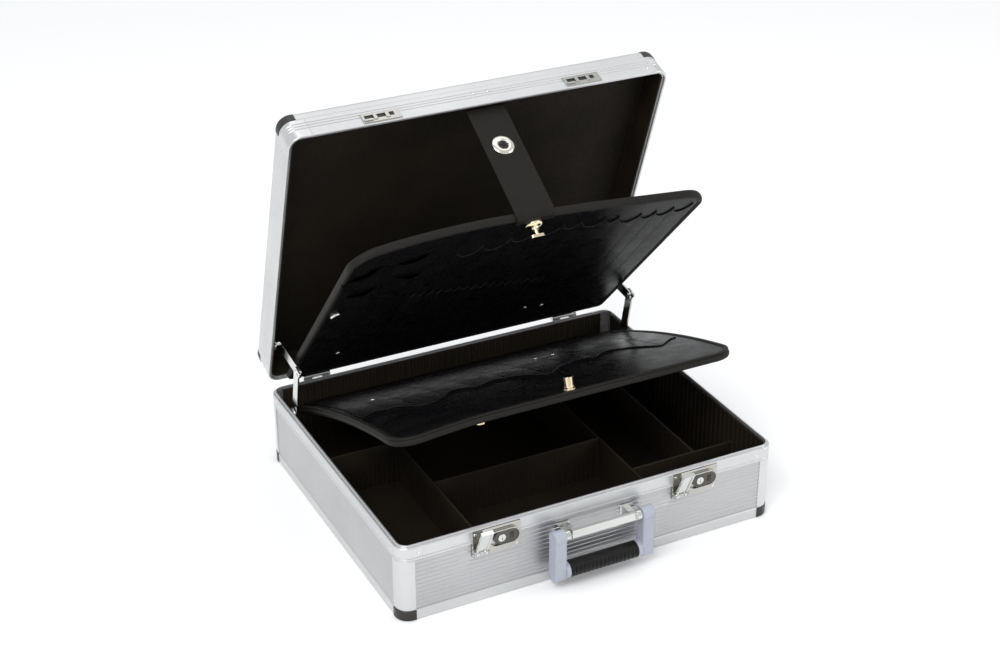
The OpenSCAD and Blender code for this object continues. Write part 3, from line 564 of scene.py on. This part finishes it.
def pocket_row(pallet, name, seams, bottom, edge, puff, base, thick=1.0):
    """A sewn row of pockets: one sheet, held down at its seams and bottom, open along its shaped top edge."""
    columns = []
    for a, b in zip(seams, seams[1:]):
        count = max(8, int((b - a) / 1.6))
        columns += [(a + (b - a) * k / count, k / count, b - a) for k in range(count)]
    columns.append((seams[-1], 0.0, seams[-1] - seams[-2]))
    rows = 26
    verts = []
    for layer in (0.0, thick):
        for x, t, width in columns:
            top = edge(x, t, width)
            swell = math.sin(math.pi * t) ** 0.75
            for j in range(rows):
                v = j / (rows - 1)
                s = bottom + (top - bottom) * v
                high = puff * min(1.0, width / 40) * swell * (math.sin(math.pi * min(v * 1.15, 1.0) / 2) ** 0.8)
                verts.append(pallet.at(x, s, base + layer + high))
    n = len(columns)
    outer = grid_faces(n, rows, n * rows)
    inner = [f[::-1] for f in grid_faces(n, rows, 0)]
    border = [i * rows for i in range(n)] + [(n - 1) * rows + j for j in range(1, rows)]
    border += [i * rows + rows - 1 for i in range(n - 2, -1, -1)] + [j for j in range(rows - 2, 0, -1)]
    skirt = [(a, b, b + n * rows, a + n * rows) for a, b in zip(border, border[1:] + border[:1])]
    obj = mesh_object(name, verts, outer + inner + skirt, POCKET_LOOK)
    fix_normals(obj)
    sharpen(obj, 50)
    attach(obj, pallet.body)
    # the top edge: a thin tube coloured lighter than the vinyl, a painted highlight along the sheet's cut edge
    rings, edge_highlight_verts = [], []
    for x, t, width in columns:
        high = puff * min(1.0, width / 40) * math.sin(math.pi * t) ** 0.75
        rings.append((x, edge(x, t, width), base + thick + high))
    for x, s, o in rings:
        for a in range(6):
            c, d = 0.4 * math.cos(a * math.pi / 3), 0.4 * math.sin(a * math.pi / 3)
            edge_highlight_verts.append(pallet.at(x, s + c, o + d))
    edge_highlight_obj = mesh_object(name + "_edge_highlight", edge_highlight_verts, tube_faces(len(rings), 6, False), EDGE_HIGHLIGHT_LOOK)
    fix_normals(edge_highlight_obj)
    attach(edge_highlight_obj, pallet.body)
    # a line of stitches down each seam
    up = pallet.normal()
    sv, sf = [], []
    for x in seams[1:-1]:
        top = edge(x, 0.0, 1.0)
        for k in range(int((top - bottom - 3) / 3.4)):
            s = bottom + 1.5 + 3.4 * k
            stitch(sv, sf, pallet.at(x, s, base + thick), pallet.at(x, s + 2.4, base + thick), up, 0.5, 0.35)
    seam_obj = mesh_object(name + "_seams", sv, sf, POCKET_LOOK)
    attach(seam_obj, pallet.body)
    return obj


def cap_rivet(verts, faces, centre, normal, r, h):
    """A domed rivet cap, as rings about its normal."""
    up = Vector(normal).normalized()
    side = up.orthogonal().normalized()
    other = up.cross(side)
    first = len(verts)
    rings = [(1.0, 0.0), (1.0, 0.25), (0.86, 0.7), (0.55, 0.95), (0.18, 1.0)]
    for rr, hh in rings:
        for k in range(14):
            a = 2 * math.pi * k / 14
            p = Vector(centre) + side * (r * rr * math.cos(a)) + other * (r * rr * math.sin(a)) + up * (h * hh)
            verts.append(tuple(p))
    for i in range(len(rings) - 1):
        k = first + 14 * i
        faces.extend([(k + j, k + (j + 1) % 14, k + 14 + (j + 1) % 14, k + 14 + j) for j in range(14)])
    last = first + 14 * (len(rings) - 1)
    faces.append(tuple(range(last, last + 14)))
    faces.append(tuple(range(first, first + 14))[::-1])


def rivets(pallet, name, places, r, h, o, look):
    up = pallet.normal()
    verts, faces = [], []
    for x, s in places:
        cap_rivet(verts, faces, pallet.at(x, s, o), up, r, h)
    obj = mesh_object(name, verts, faces, look)
    sharpen(obj, 50)
    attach(obj, pallet.body)


def turned_post(pallet, name, x, s, profile, look, replaced):
    """A turned piece standing on the pallet's face: profile holds (radius, height off the face)."""
    sides, verts = 40, []
    for r, h in profile:
        for k in range(sides):
            a = 2 * math.pi * k / sides
            flat = pallet.at(x, s, PALLET_T / 2 - 1 + h)
            across = pallet.at(x + r * math.cos(a), s, PALLET_T / 2 - 1 + h)
            along = np.array(pallet.at(x, s + 10, 0)) - np.array(pallet.at(x, s, 0))
            along = along / np.linalg.norm(along) * r * math.sin(a)
            verts.append((across[0], flat[1] + along[1], flat[2] + along[2]))
    obj = mesh_object(name, verts, tube_faces(len(profile), sides, False), look)
    fix_normals(obj)
    sharpen(obj, 40)
    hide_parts(replaced)
    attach(obj, pallet.body)


def tool_loop(pallet, name, x, s, width, length, turn, high):
    """An arched strap of leathercloth sewn down at both ends, for one tool."""
    c, d = math.cos(math.radians(turn)), math.sin(math.radians(turn))
    columns, rows, verts = 22, 7, []
    for layer in (0.0, 1.1):
        for i in range(columns):
            u = i / (columns - 1)
            arch = math.sin(math.pi * max(0.0, min(1.0, (u - 0.12) / 0.76))) ** 0.8 * high
            for j in range(rows):
                v = (j / (rows - 1) - 0.5) * width
                w = (u - 0.5) * length
                verts.append(pallet.at(x + w * c - v * d, s + w * d + v * c, PALLET_T / 2 - 0.9 + arch + layer))
    n = columns * rows
    outer = grid_faces(columns, rows, n)
    inner = [f[::-1] for f in grid_faces(columns, rows, 0)]
    border = [i * rows for i in range(columns)] + [(columns - 1) * rows + j for j in range(1, rows)]
    border += [i * rows + rows - 1 for i in range(columns - 2, -1, -1)] + [j for j in range(rows - 2, 0, -1)]
    skirt = [(a, b, b + n, a + n) for a, b in zip(border, border[1:] + border[:1])]
    obj = mesh_object(name, verts, outer + inner + skirt, POCKET_LOOK)
    fix_normals(obj)
    sharpen(obj, 50)
    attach(obj, pallet.body)


UPPER_SECTION = [(6.2, 3.9), (4.8, 4.4), (3, 4.7), (1.2, 4.1), (0.2, 2.4), (-0.2, 0), (0.2, -2.4), (1.2, -4.2),
                 (3, -4.9), (6, -4.5), (8.5, -3.9), (8.5, -3.55), (4.6, -3.55), (4.3, -3.0), (4.3, 3.0), (4.6, 3.55),
                 (6.2, 3.55)]
LOWER_SECTION = [(6.4, 3.9), (4.6, 4.5), (2.4, 4.7), (0.9, 4.3), (0.4, 3.4), (0.9, 2.5), (1.3, 2.1), (0.3, 1.4),
                 (-0.2, -0.6), (0.2, -2.8), (1.2, -4.3), (3, -4.9), (6, -4.5), (8.5, -3.9), (8.5, -3.55),
                 (4.6, -3.55), (4.3, -3.0), (4.3, 3.0), (4.6, 3.55), (6.4, 3.55)]


def upper_edge(x, t, width):
    """Top edge of the upper pallet's tool pockets: U-shaped mouths between peaks of differing height."""
    peak = 302 + 0.085 * (x + 60) + 6 * math.sin(x / 31.0)
    depth = min(24.0, 9 + width * 0.33)
    return peak - depth * math.sin(math.pi * t) ** 0.55


def small_edge(x, t, width):
    """Top edge of the narrow lower pockets: a zigzag."""
    return 186 - 0.19 * (x + 20) - 9 * (1 - abs(2 * t - 1))


def lower_edge(x, t, width):
    """Top edge of the lower pallet's pockets: long shallow steps."""
    return 205 + 14 * math.sin(x / 24.0 + 0.6) + 9 * math.sin(x / 11.5) - 5 * math.sin(math.pi * t)


def build_pallets():
    board(UPPER, "upper_pallet_cover", 3.5, 4.4, "upper_pallet_board")
    binding(UPPER, "upper_pallet_binding", UPPER_SECTION, "upper_pallet_edging")
    stitches(UPPER, "upper_pallet_stitching", 4.9, 4.2)
    seams = [-78, -46, -14, 14, 44, 66, 96, 112, 140, 158, 178, 199]
    row = pocket_row(UPPER, "upper_pallet_tool_pockets", seams, 120, upper_edge, 0.15, 3.55)
    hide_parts("upper_pallet_pockets")
    narrow = [-112 + 11.5 * k for k in range(17)]
    pocket_row(UPPER, "upper_pallet_small_pockets", narrow, 62, small_edge, 0.8, 4.9, 0.9)
    for k, (x, s, w, l, turn, high) in enumerate([(-183, 286, 24, 52, 22, 5), (-128, 292, 22, 50, 12, 5),
                                                  (-176, 236, 20, 46, 8, 5), (-126, 246, 26, 44, -8, 5)]):
        tool_loop(UPPER, f"upper_pallet_loop_{k + 1}", x, s, w, l, turn, high)
    rivets(UPPER, "upper_pallet_rivets", [(81, 68), (105, 64), (-160, 60)], 2.6, 1.4, 3.5,
           LOOKS["steel_bright"])
    rivets(UPPER, "upper_pallet_snap", [(-195, 192)], 6.0, 3.2, 3.5, LOOKS["chrome_plate"])

    turned_post(UPPER, "turn_button_dome", 0, UPPER_REACH - 13, [(9.2, 1.4), (9.8, 3.9), (9.6, 4.8), (8.6, 5.8),
                (6.8, 6.7), (5.0, 7.3), (4.2, 7.9), (3.9, 8.6), (3.9, 9.6), (3.4, 10.0), (2.4, 10.0)],
                LOOKS["brass_plate"], "turn_button_seat")

    board(LOWER, "lower_pallet_cover", 3.5, 4.4, "lower_pallet_board")
    binding(LOWER, "lower_pallet_binding", LOWER_SECTION, "lower_pallet_edging")
    stitches(LOWER, "lower_pallet_stitching", 5.1, 4.1)
    seams = [-198, -168, -140, -100, -62, -20, 16, 58, 92, 130, 164, 198]
    row = pocket_row(LOWER, "lower_pallet_tool_pockets", seams, 40, lower_edge, 0.35, 3.55)
    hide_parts("lower_pallet_pockets")
    rivets(LOWER, "lower_pallet_rivets", [(-158, 126), (52, 122), (74, 124)], 2.6, 1.5, 5.0,
           LOOKS["steel_bright"])


# ---------- strap and hinge strips ----------

def lid_point(y, z):
    """Open place of a point of the closed lid, in mm."""
    a = math.radians(-LID_OPEN)
    dy, dz = y - LID_AXIS[0], z - LID_AXIS[1]
    return (dy * math.cos(a) - dz * math.sin(a) + LID_AXIS[0], dy * math.sin(a) + dz * math.cos(a) + LID_AXIS[1])


def smooth_path(points, step=1.5, radius=5.0):
    """A polyline of (y, z) with its corners rounded and even spacing."""
    path = [np.array(points[0], float)]
    for a, b, c in zip(points, points[1:], points[2:]):
        a, b, c = (np.array(p, float) for p in (a, b, c))
        r1 = min(radius, 0.45 * np.linalg.norm(b - a))
        r2 = min(radius, 0.45 * np.linalg.norm(c - b))
        p, q = b + (a - b) / np.linalg.norm(a - b) * r1, b + (c - b) / np.linalg.norm(c - b) * r2
        path += [p * (1 - t) ** 2 + 2 * b * t * (1 - t) + q * t * t for t in np.linspace(0, 1, 9)]
    path.append(np.array(points[-1], float))
    lengths = np.cumsum([0] + [np.linalg.norm(b - a) for a, b in zip(path, path[1:])])
    count = int(lengths[-1] / step)
    at = np.linspace(0, lengths[-1], count + 1)
    line = np.array(path)
    return np.stack([np.interp(at, lengths, line[:, 0]), np.interp(at, lengths, line[:, 1])], 1)


def ribbon(name, path, half, thick, look, columns=16, dish=0.0, edge_bead=0.4):
    """A strip of cloth that follows a path in the YZ plane, with rounded, slightly beaded edges."""
    steps = np.gradient(path, axis=0)
    steps /= np.linalg.norm(steps, axis=1)[:, None]
    normals = np.stack([steps[:, 1], -steps[:, 0]], 1)
    across = []
    for i in range(columns + 1):
        u = -1 + 2 * i / columns
        bead = edge_bead if 0.80 < abs(u) < 0.97 else 0.0
        across.append((u, thick / 2 * (1 - 0.35 * abs(u) ** 12) + bead))
    verts, n = [], len(path)
    for p, nrm in zip(path, normals):
        ring = [(u * half, t) for u, t in across] + [(u * half, -t) for u, t in reversed(across)]
        for x, o in ring:
            bent = dish * (1 - (x / half) ** 2)
            verts.append((x, p[0] + nrm[0] * (o + bent), p[1] + nrm[1] * (o + bent)))
    obj = mesh_object(name, verts, tube_faces(n, 2 * (columns + 1), False), look)
    fix_normals(obj)
    sharpen(obj, 55)
    return obj


def build_strap():
    low, high = (Vector(p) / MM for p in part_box("strap"))
    lid_end = (high.y - 0.4, high.z - 0.6)
    edge = UPPER.at(0, UPPER_REACH + 1.4, -2.0)[1:]
    over = UPPER.at(0, UPPER_REACH + 1.6, 4.4)[1:]
    tip = UPPER.at(0, UPPER_REACH - 8, 5.4)[1:]
    path = smooth_path([lid_end, edge, over, tip], 1.5, 3.0)
    strap = ribbon("strap_band", path, STRAP_W / 2, 1.6, STRAP_LOOK, 20)
    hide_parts("strap")
    # two rows of stitches along the band and a sewn box at its lower end
    steps = np.gradient(path, axis=0)
    steps /= np.linalg.norm(steps, axis=1)[:, None]
    face = np.stack([-steps[:, 1], steps[:, 0]], 1)
    if face[5][1] < 0:
        face = -face
    lengths = np.cumsum([0] + [np.linalg.norm(b - a) for a, b in zip(path, path[1:])])

    def on_band(d, x, lift):
        p = [float(np.interp(d, lengths, path[:, c])) for c in (0, 1)]
        f = [float(np.interp(d, lengths, face[:, c])) for c in (0, 1)]
        return (x, p[0] + f[0] * lift, p[1] + f[1] * lift), (0, f[0], f[1])

    verts, faces = [], []
    for x in (-STRAP_W / 2 + 3.2, STRAP_W / 2 - 3.2):
        for k in range(int((lengths[-1] - 4) / 3.6)):
            a, up = on_band(2 + k * 3.6, x, 0.85)
            b, _ = on_band(2 + k * 3.6 + 2.5, x, 0.85)
            stitch(verts, faces, a, b, up)
    for d in (6.0, 16.0, lengths[-1] - 36, lengths[-1] - 26):
        for k in range(int((STRAP_W - 8) / 3.6)):
            x = -STRAP_W / 2 + 4.4 + k * 3.6
            a, up = on_band(d, x, 0.85)
            b, _ = on_band(d, x + 2.5, 0.85)
            stitch(verts, faces, a, b, up)
    thread = mesh_object("strap_stitching", verts, faces, THREAD_LOOK)
    # eyelet: a flared ring with a rolled inner edge
    at = sum(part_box("strap_eyelet"), Vector()) / 2 / MM
    nearest = int(np.argmin(np.hypot(path[:, 0] - at.y, path[:, 1] - at.z)))
    centre, up = on_band(lengths[nearest] + EYELET_DROP, 0, 0.0)
    up, side = Vector(up), Vector((1, 0, 0))
    other = up.cross(side)
    section = [(5.5, -1.2), (6.4, -1.3), (6.6, 0.9), (12.0, 0.85), (12.5, 1.15), (12.1, 1.6), (9.8, 2.3), (7.8, 2.7),
               (6.3, 2.4), (5.5, 1.4)]
    verts = []
    for k in range(40):
        a = 2 * math.pi * k / 40
        for r, h in section:
            verts.append(tuple(Vector(centre) + (side * math.cos(a) + other * math.sin(a)) * r + up * h))
    ring = mesh_object("strap_eyelet_ring", verts, tube_faces(40, len(section), True), NICKEL_LOOK)
    fix_normals(ring)
    sharpen(ring, 50)
    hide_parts("strap_eyelet")
    # a flat black disc: painted shadow in the eyelet's hole
    verts = []
    for k in range(32):
        a = 2 * math.pi * k / 32
        for r, h in ((6.5, 0.86), (6.5, 1.0), (0.6, 1.0), (0.6, 0.86)):
            verts.append(tuple(Vector(centre) + (side * math.cos(a) + other * math.sin(a)) * r + up * h))
    hole = mesh_object("strap_eyelet_shadow", verts, tube_faces(32, 4, True), PAINTED_SHADE_LOOK)
    fix_normals(hole)
    for piece in (strap, thread, ring, hole):
        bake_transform(piece)


def build_hinge_strips():
    """Flexible strips that join the pallets to the rear walls."""
    wall_high, wall_low = lid_point(180.4, 112), lid_point(180.4, 98)
    near = lid_point(177.5, 93.5)
    back = [UPPER.at(0, s, o)[1:] for s, o in ((9, -4.4), (30, -4.5))]
    path = smooth_path([wall_high, wall_low, near, back[0], back[1]], 1.5, 5.0)
    strip = ribbon("upper_pallet_hinge_strip", path, HINGE_HALF, 1.3, LOOKS["black_vinyl"], 24)
    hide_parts("upper_pallet_hinge")
    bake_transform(strip)
    foot, top = (179.6, 59.2), (179.6, 65.6)
    near = (173.5, 68.6)
    front = [LOWER.at(0, s, o)[1:] for s, o in ((9, 4.4), (34, 4.5))]
    path = smooth_path([foot, top, near, front[0], front[1]], 1.5, 5.0)
    strip = ribbon("lower_pallet_hinge_strip", path, HINGE_HALF, 1.3, LOOKS["black_vinyl"], 24)
    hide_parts("lower_pallet_hinge")
    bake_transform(strip)


# ---------- strikes ----------

def build_strike_slot_shades():
    """A flat black sheet painted as the shade in the hollow behind each slot of the strike plates."""
    low, high = (Vector(p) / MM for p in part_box("latch_slide_right"))
    middle = (low.x + high.x) / 2 - 13.5
    for name, x in (("strike_slot_shade_left", -middle), ("strike_slot_shade_right", middle)):
        verts, faces = [], []
        for y in (-187.5, -187.9):
            for dx, z in ((-18.9, 99.2), (14.9, 99.2), (14.9, 104.8), (-18.9, 104.8)):
                verts.append((x + dx, *lid_point(y, z)))
        faces = [(0, 1, 2, 3), (4, 5, 6, 7)] + [(k, (k + 1) % 4, 4 + (k + 1) % 4, 4 + k) for k in range(4)]
        obj = mesh_object(name, verts, faces, PAINTED_SHADE_LOOK, False)
        fix_normals(obj)
        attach(obj, "lid")


# ---------- handle grip ----------

def build_grip():
    """Moulded grip: smooth on top, ribbed across its front, underside and back."""
    low, high = (Vector(p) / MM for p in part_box("handle_grip"))
    y, z, radius = (low.y + high.y) / 2, (low.z + high.z) / 2, (high.z - low.z) / 2
    length, around, verts = high.x - low.x, 64, []
    stations = [0.0, 0.3] + [0.6 + (length - 1.2) * k / 204 for k in range(205)] + [length - 0.3, length]
    for d in stations:
        end = min(d, length - d)
        edge = 0.9 if end < 0.1 else 0.35 if end < 0.5 else 0.0
        u = (d / length * GRIP_RIBS) % 1.0
        dip = max(0.0, math.sin(math.pi * u / 0.42)) ** 0.6 if u < 0.42 else 0.0
        for k in range(around):
            a = 2 * math.pi * k / around
            ribbed = min(1.0, max(0.0, (0.75 - math.sin(a)) / 0.35))
            r = radius - edge - 1.3 * dip * ribbed
            verts.append((low.x + d, y + r * math.cos(a), z + r * math.sin(a)))
    grip = mesh_object("handle_grip_cover", verts, tube_faces(len(stations), around, False), LOOKS["black_rubber"])
    fix_normals(grip)
    sharpen(grip, 45)
    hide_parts("handle_grip")
    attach(grip, "handle")


# ---------- dividers ----------

def divider(name, low, high, along):
    """A covered divider with upright ribs on both faces and a rounded top edge, made lighter by the lining's edge
    wear and painted highlight.
    """
    length = (high - low)[along] / MM
    across = 1 - along
    middle = (low + high)[across] / 2 / MM
    half = (high - low)[across] / 2 / MM
    bottom, top = low.z / MM, high.z / MM
    pitch, verts = 6.0, []
    count = int(length / (pitch / 6))
    ring_z = [bottom, bottom + 1, (bottom + top) / 2, top - 1.6, top - 0.7, top - 0.15]
    for i in range(count + 1):
        p = low[along] / MM + length * i / count
        groove = 0.75 * max(0.0, math.cos(2 * math.pi * (p / pitch))) ** 3
        ring = []
        for z in ring_z:
            narrow = max(0.0, (z - (top - 1.6)) / 1.6) ** 2 * 0.9
            depth = 0.0 if z > top - 2 else groove
            ring.append((half - depth - narrow, z))
        ring = ring + [(-t, z) for t, z in reversed(ring)]
        for t, z in ring:
            verts.append((p, middle + t, z) if along == 0 else (middle + t, p, z))
    obj = mesh_object(name, verts, tube_faces(count + 1, 2 * len(ring_z), False), LOOKS["black_lining"])
    fix_normals(obj)
    sharpen(obj, 40)
    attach(obj, "base")
    return obj


def solids_of(node_name):
    """Boxes of the separate solids of a CAD node."""
    data = frame["nodes"][node_name].data
    co = np.array([v.co for v in data.vertices])
    keys = {}
    index = [keys.setdefault(tuple(np.round(c, 5)), len(keys)) for c in co]
    parent = list(range(len(keys)))

    def root(i):
        while parent[i] != i:
            parent[i] = parent[parent[i]]
            i = parent[i]
        return i

    for polygon in data.polygons:
        first = root(index[polygon.vertices[0]])
        for v in polygon.vertices[1:]:
            parent[root(index[v])] = first
    groups = {}
    for c, i in zip(co, index):
        groups.setdefault(root(i), []).append(c)
    boxes = [(Vector(np.min(g, 0)), Vector(np.max(g, 0))) for g in groups.values()]
    return sorted(boxes, key=lambda b: tuple(b[0]))


def build_dividers():
    for node_name in ("long_dividers", "cross_dividers"):
        for k, (low, high) in enumerate(solids_of(node_name)):
            along = 0 if high.x - low.x > high.y - low.y else 1
            made = divider(f"{node_name[:-1]}_{k + 1}", low, high, along)
            if k == 0:
                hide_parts(node_name)


make_stage()
make_camera()
dress_cad()
build_pallets()
build_strap()
build_hinge_strips()
build_strike_slot_shades()
build_grip()
build_dividers()
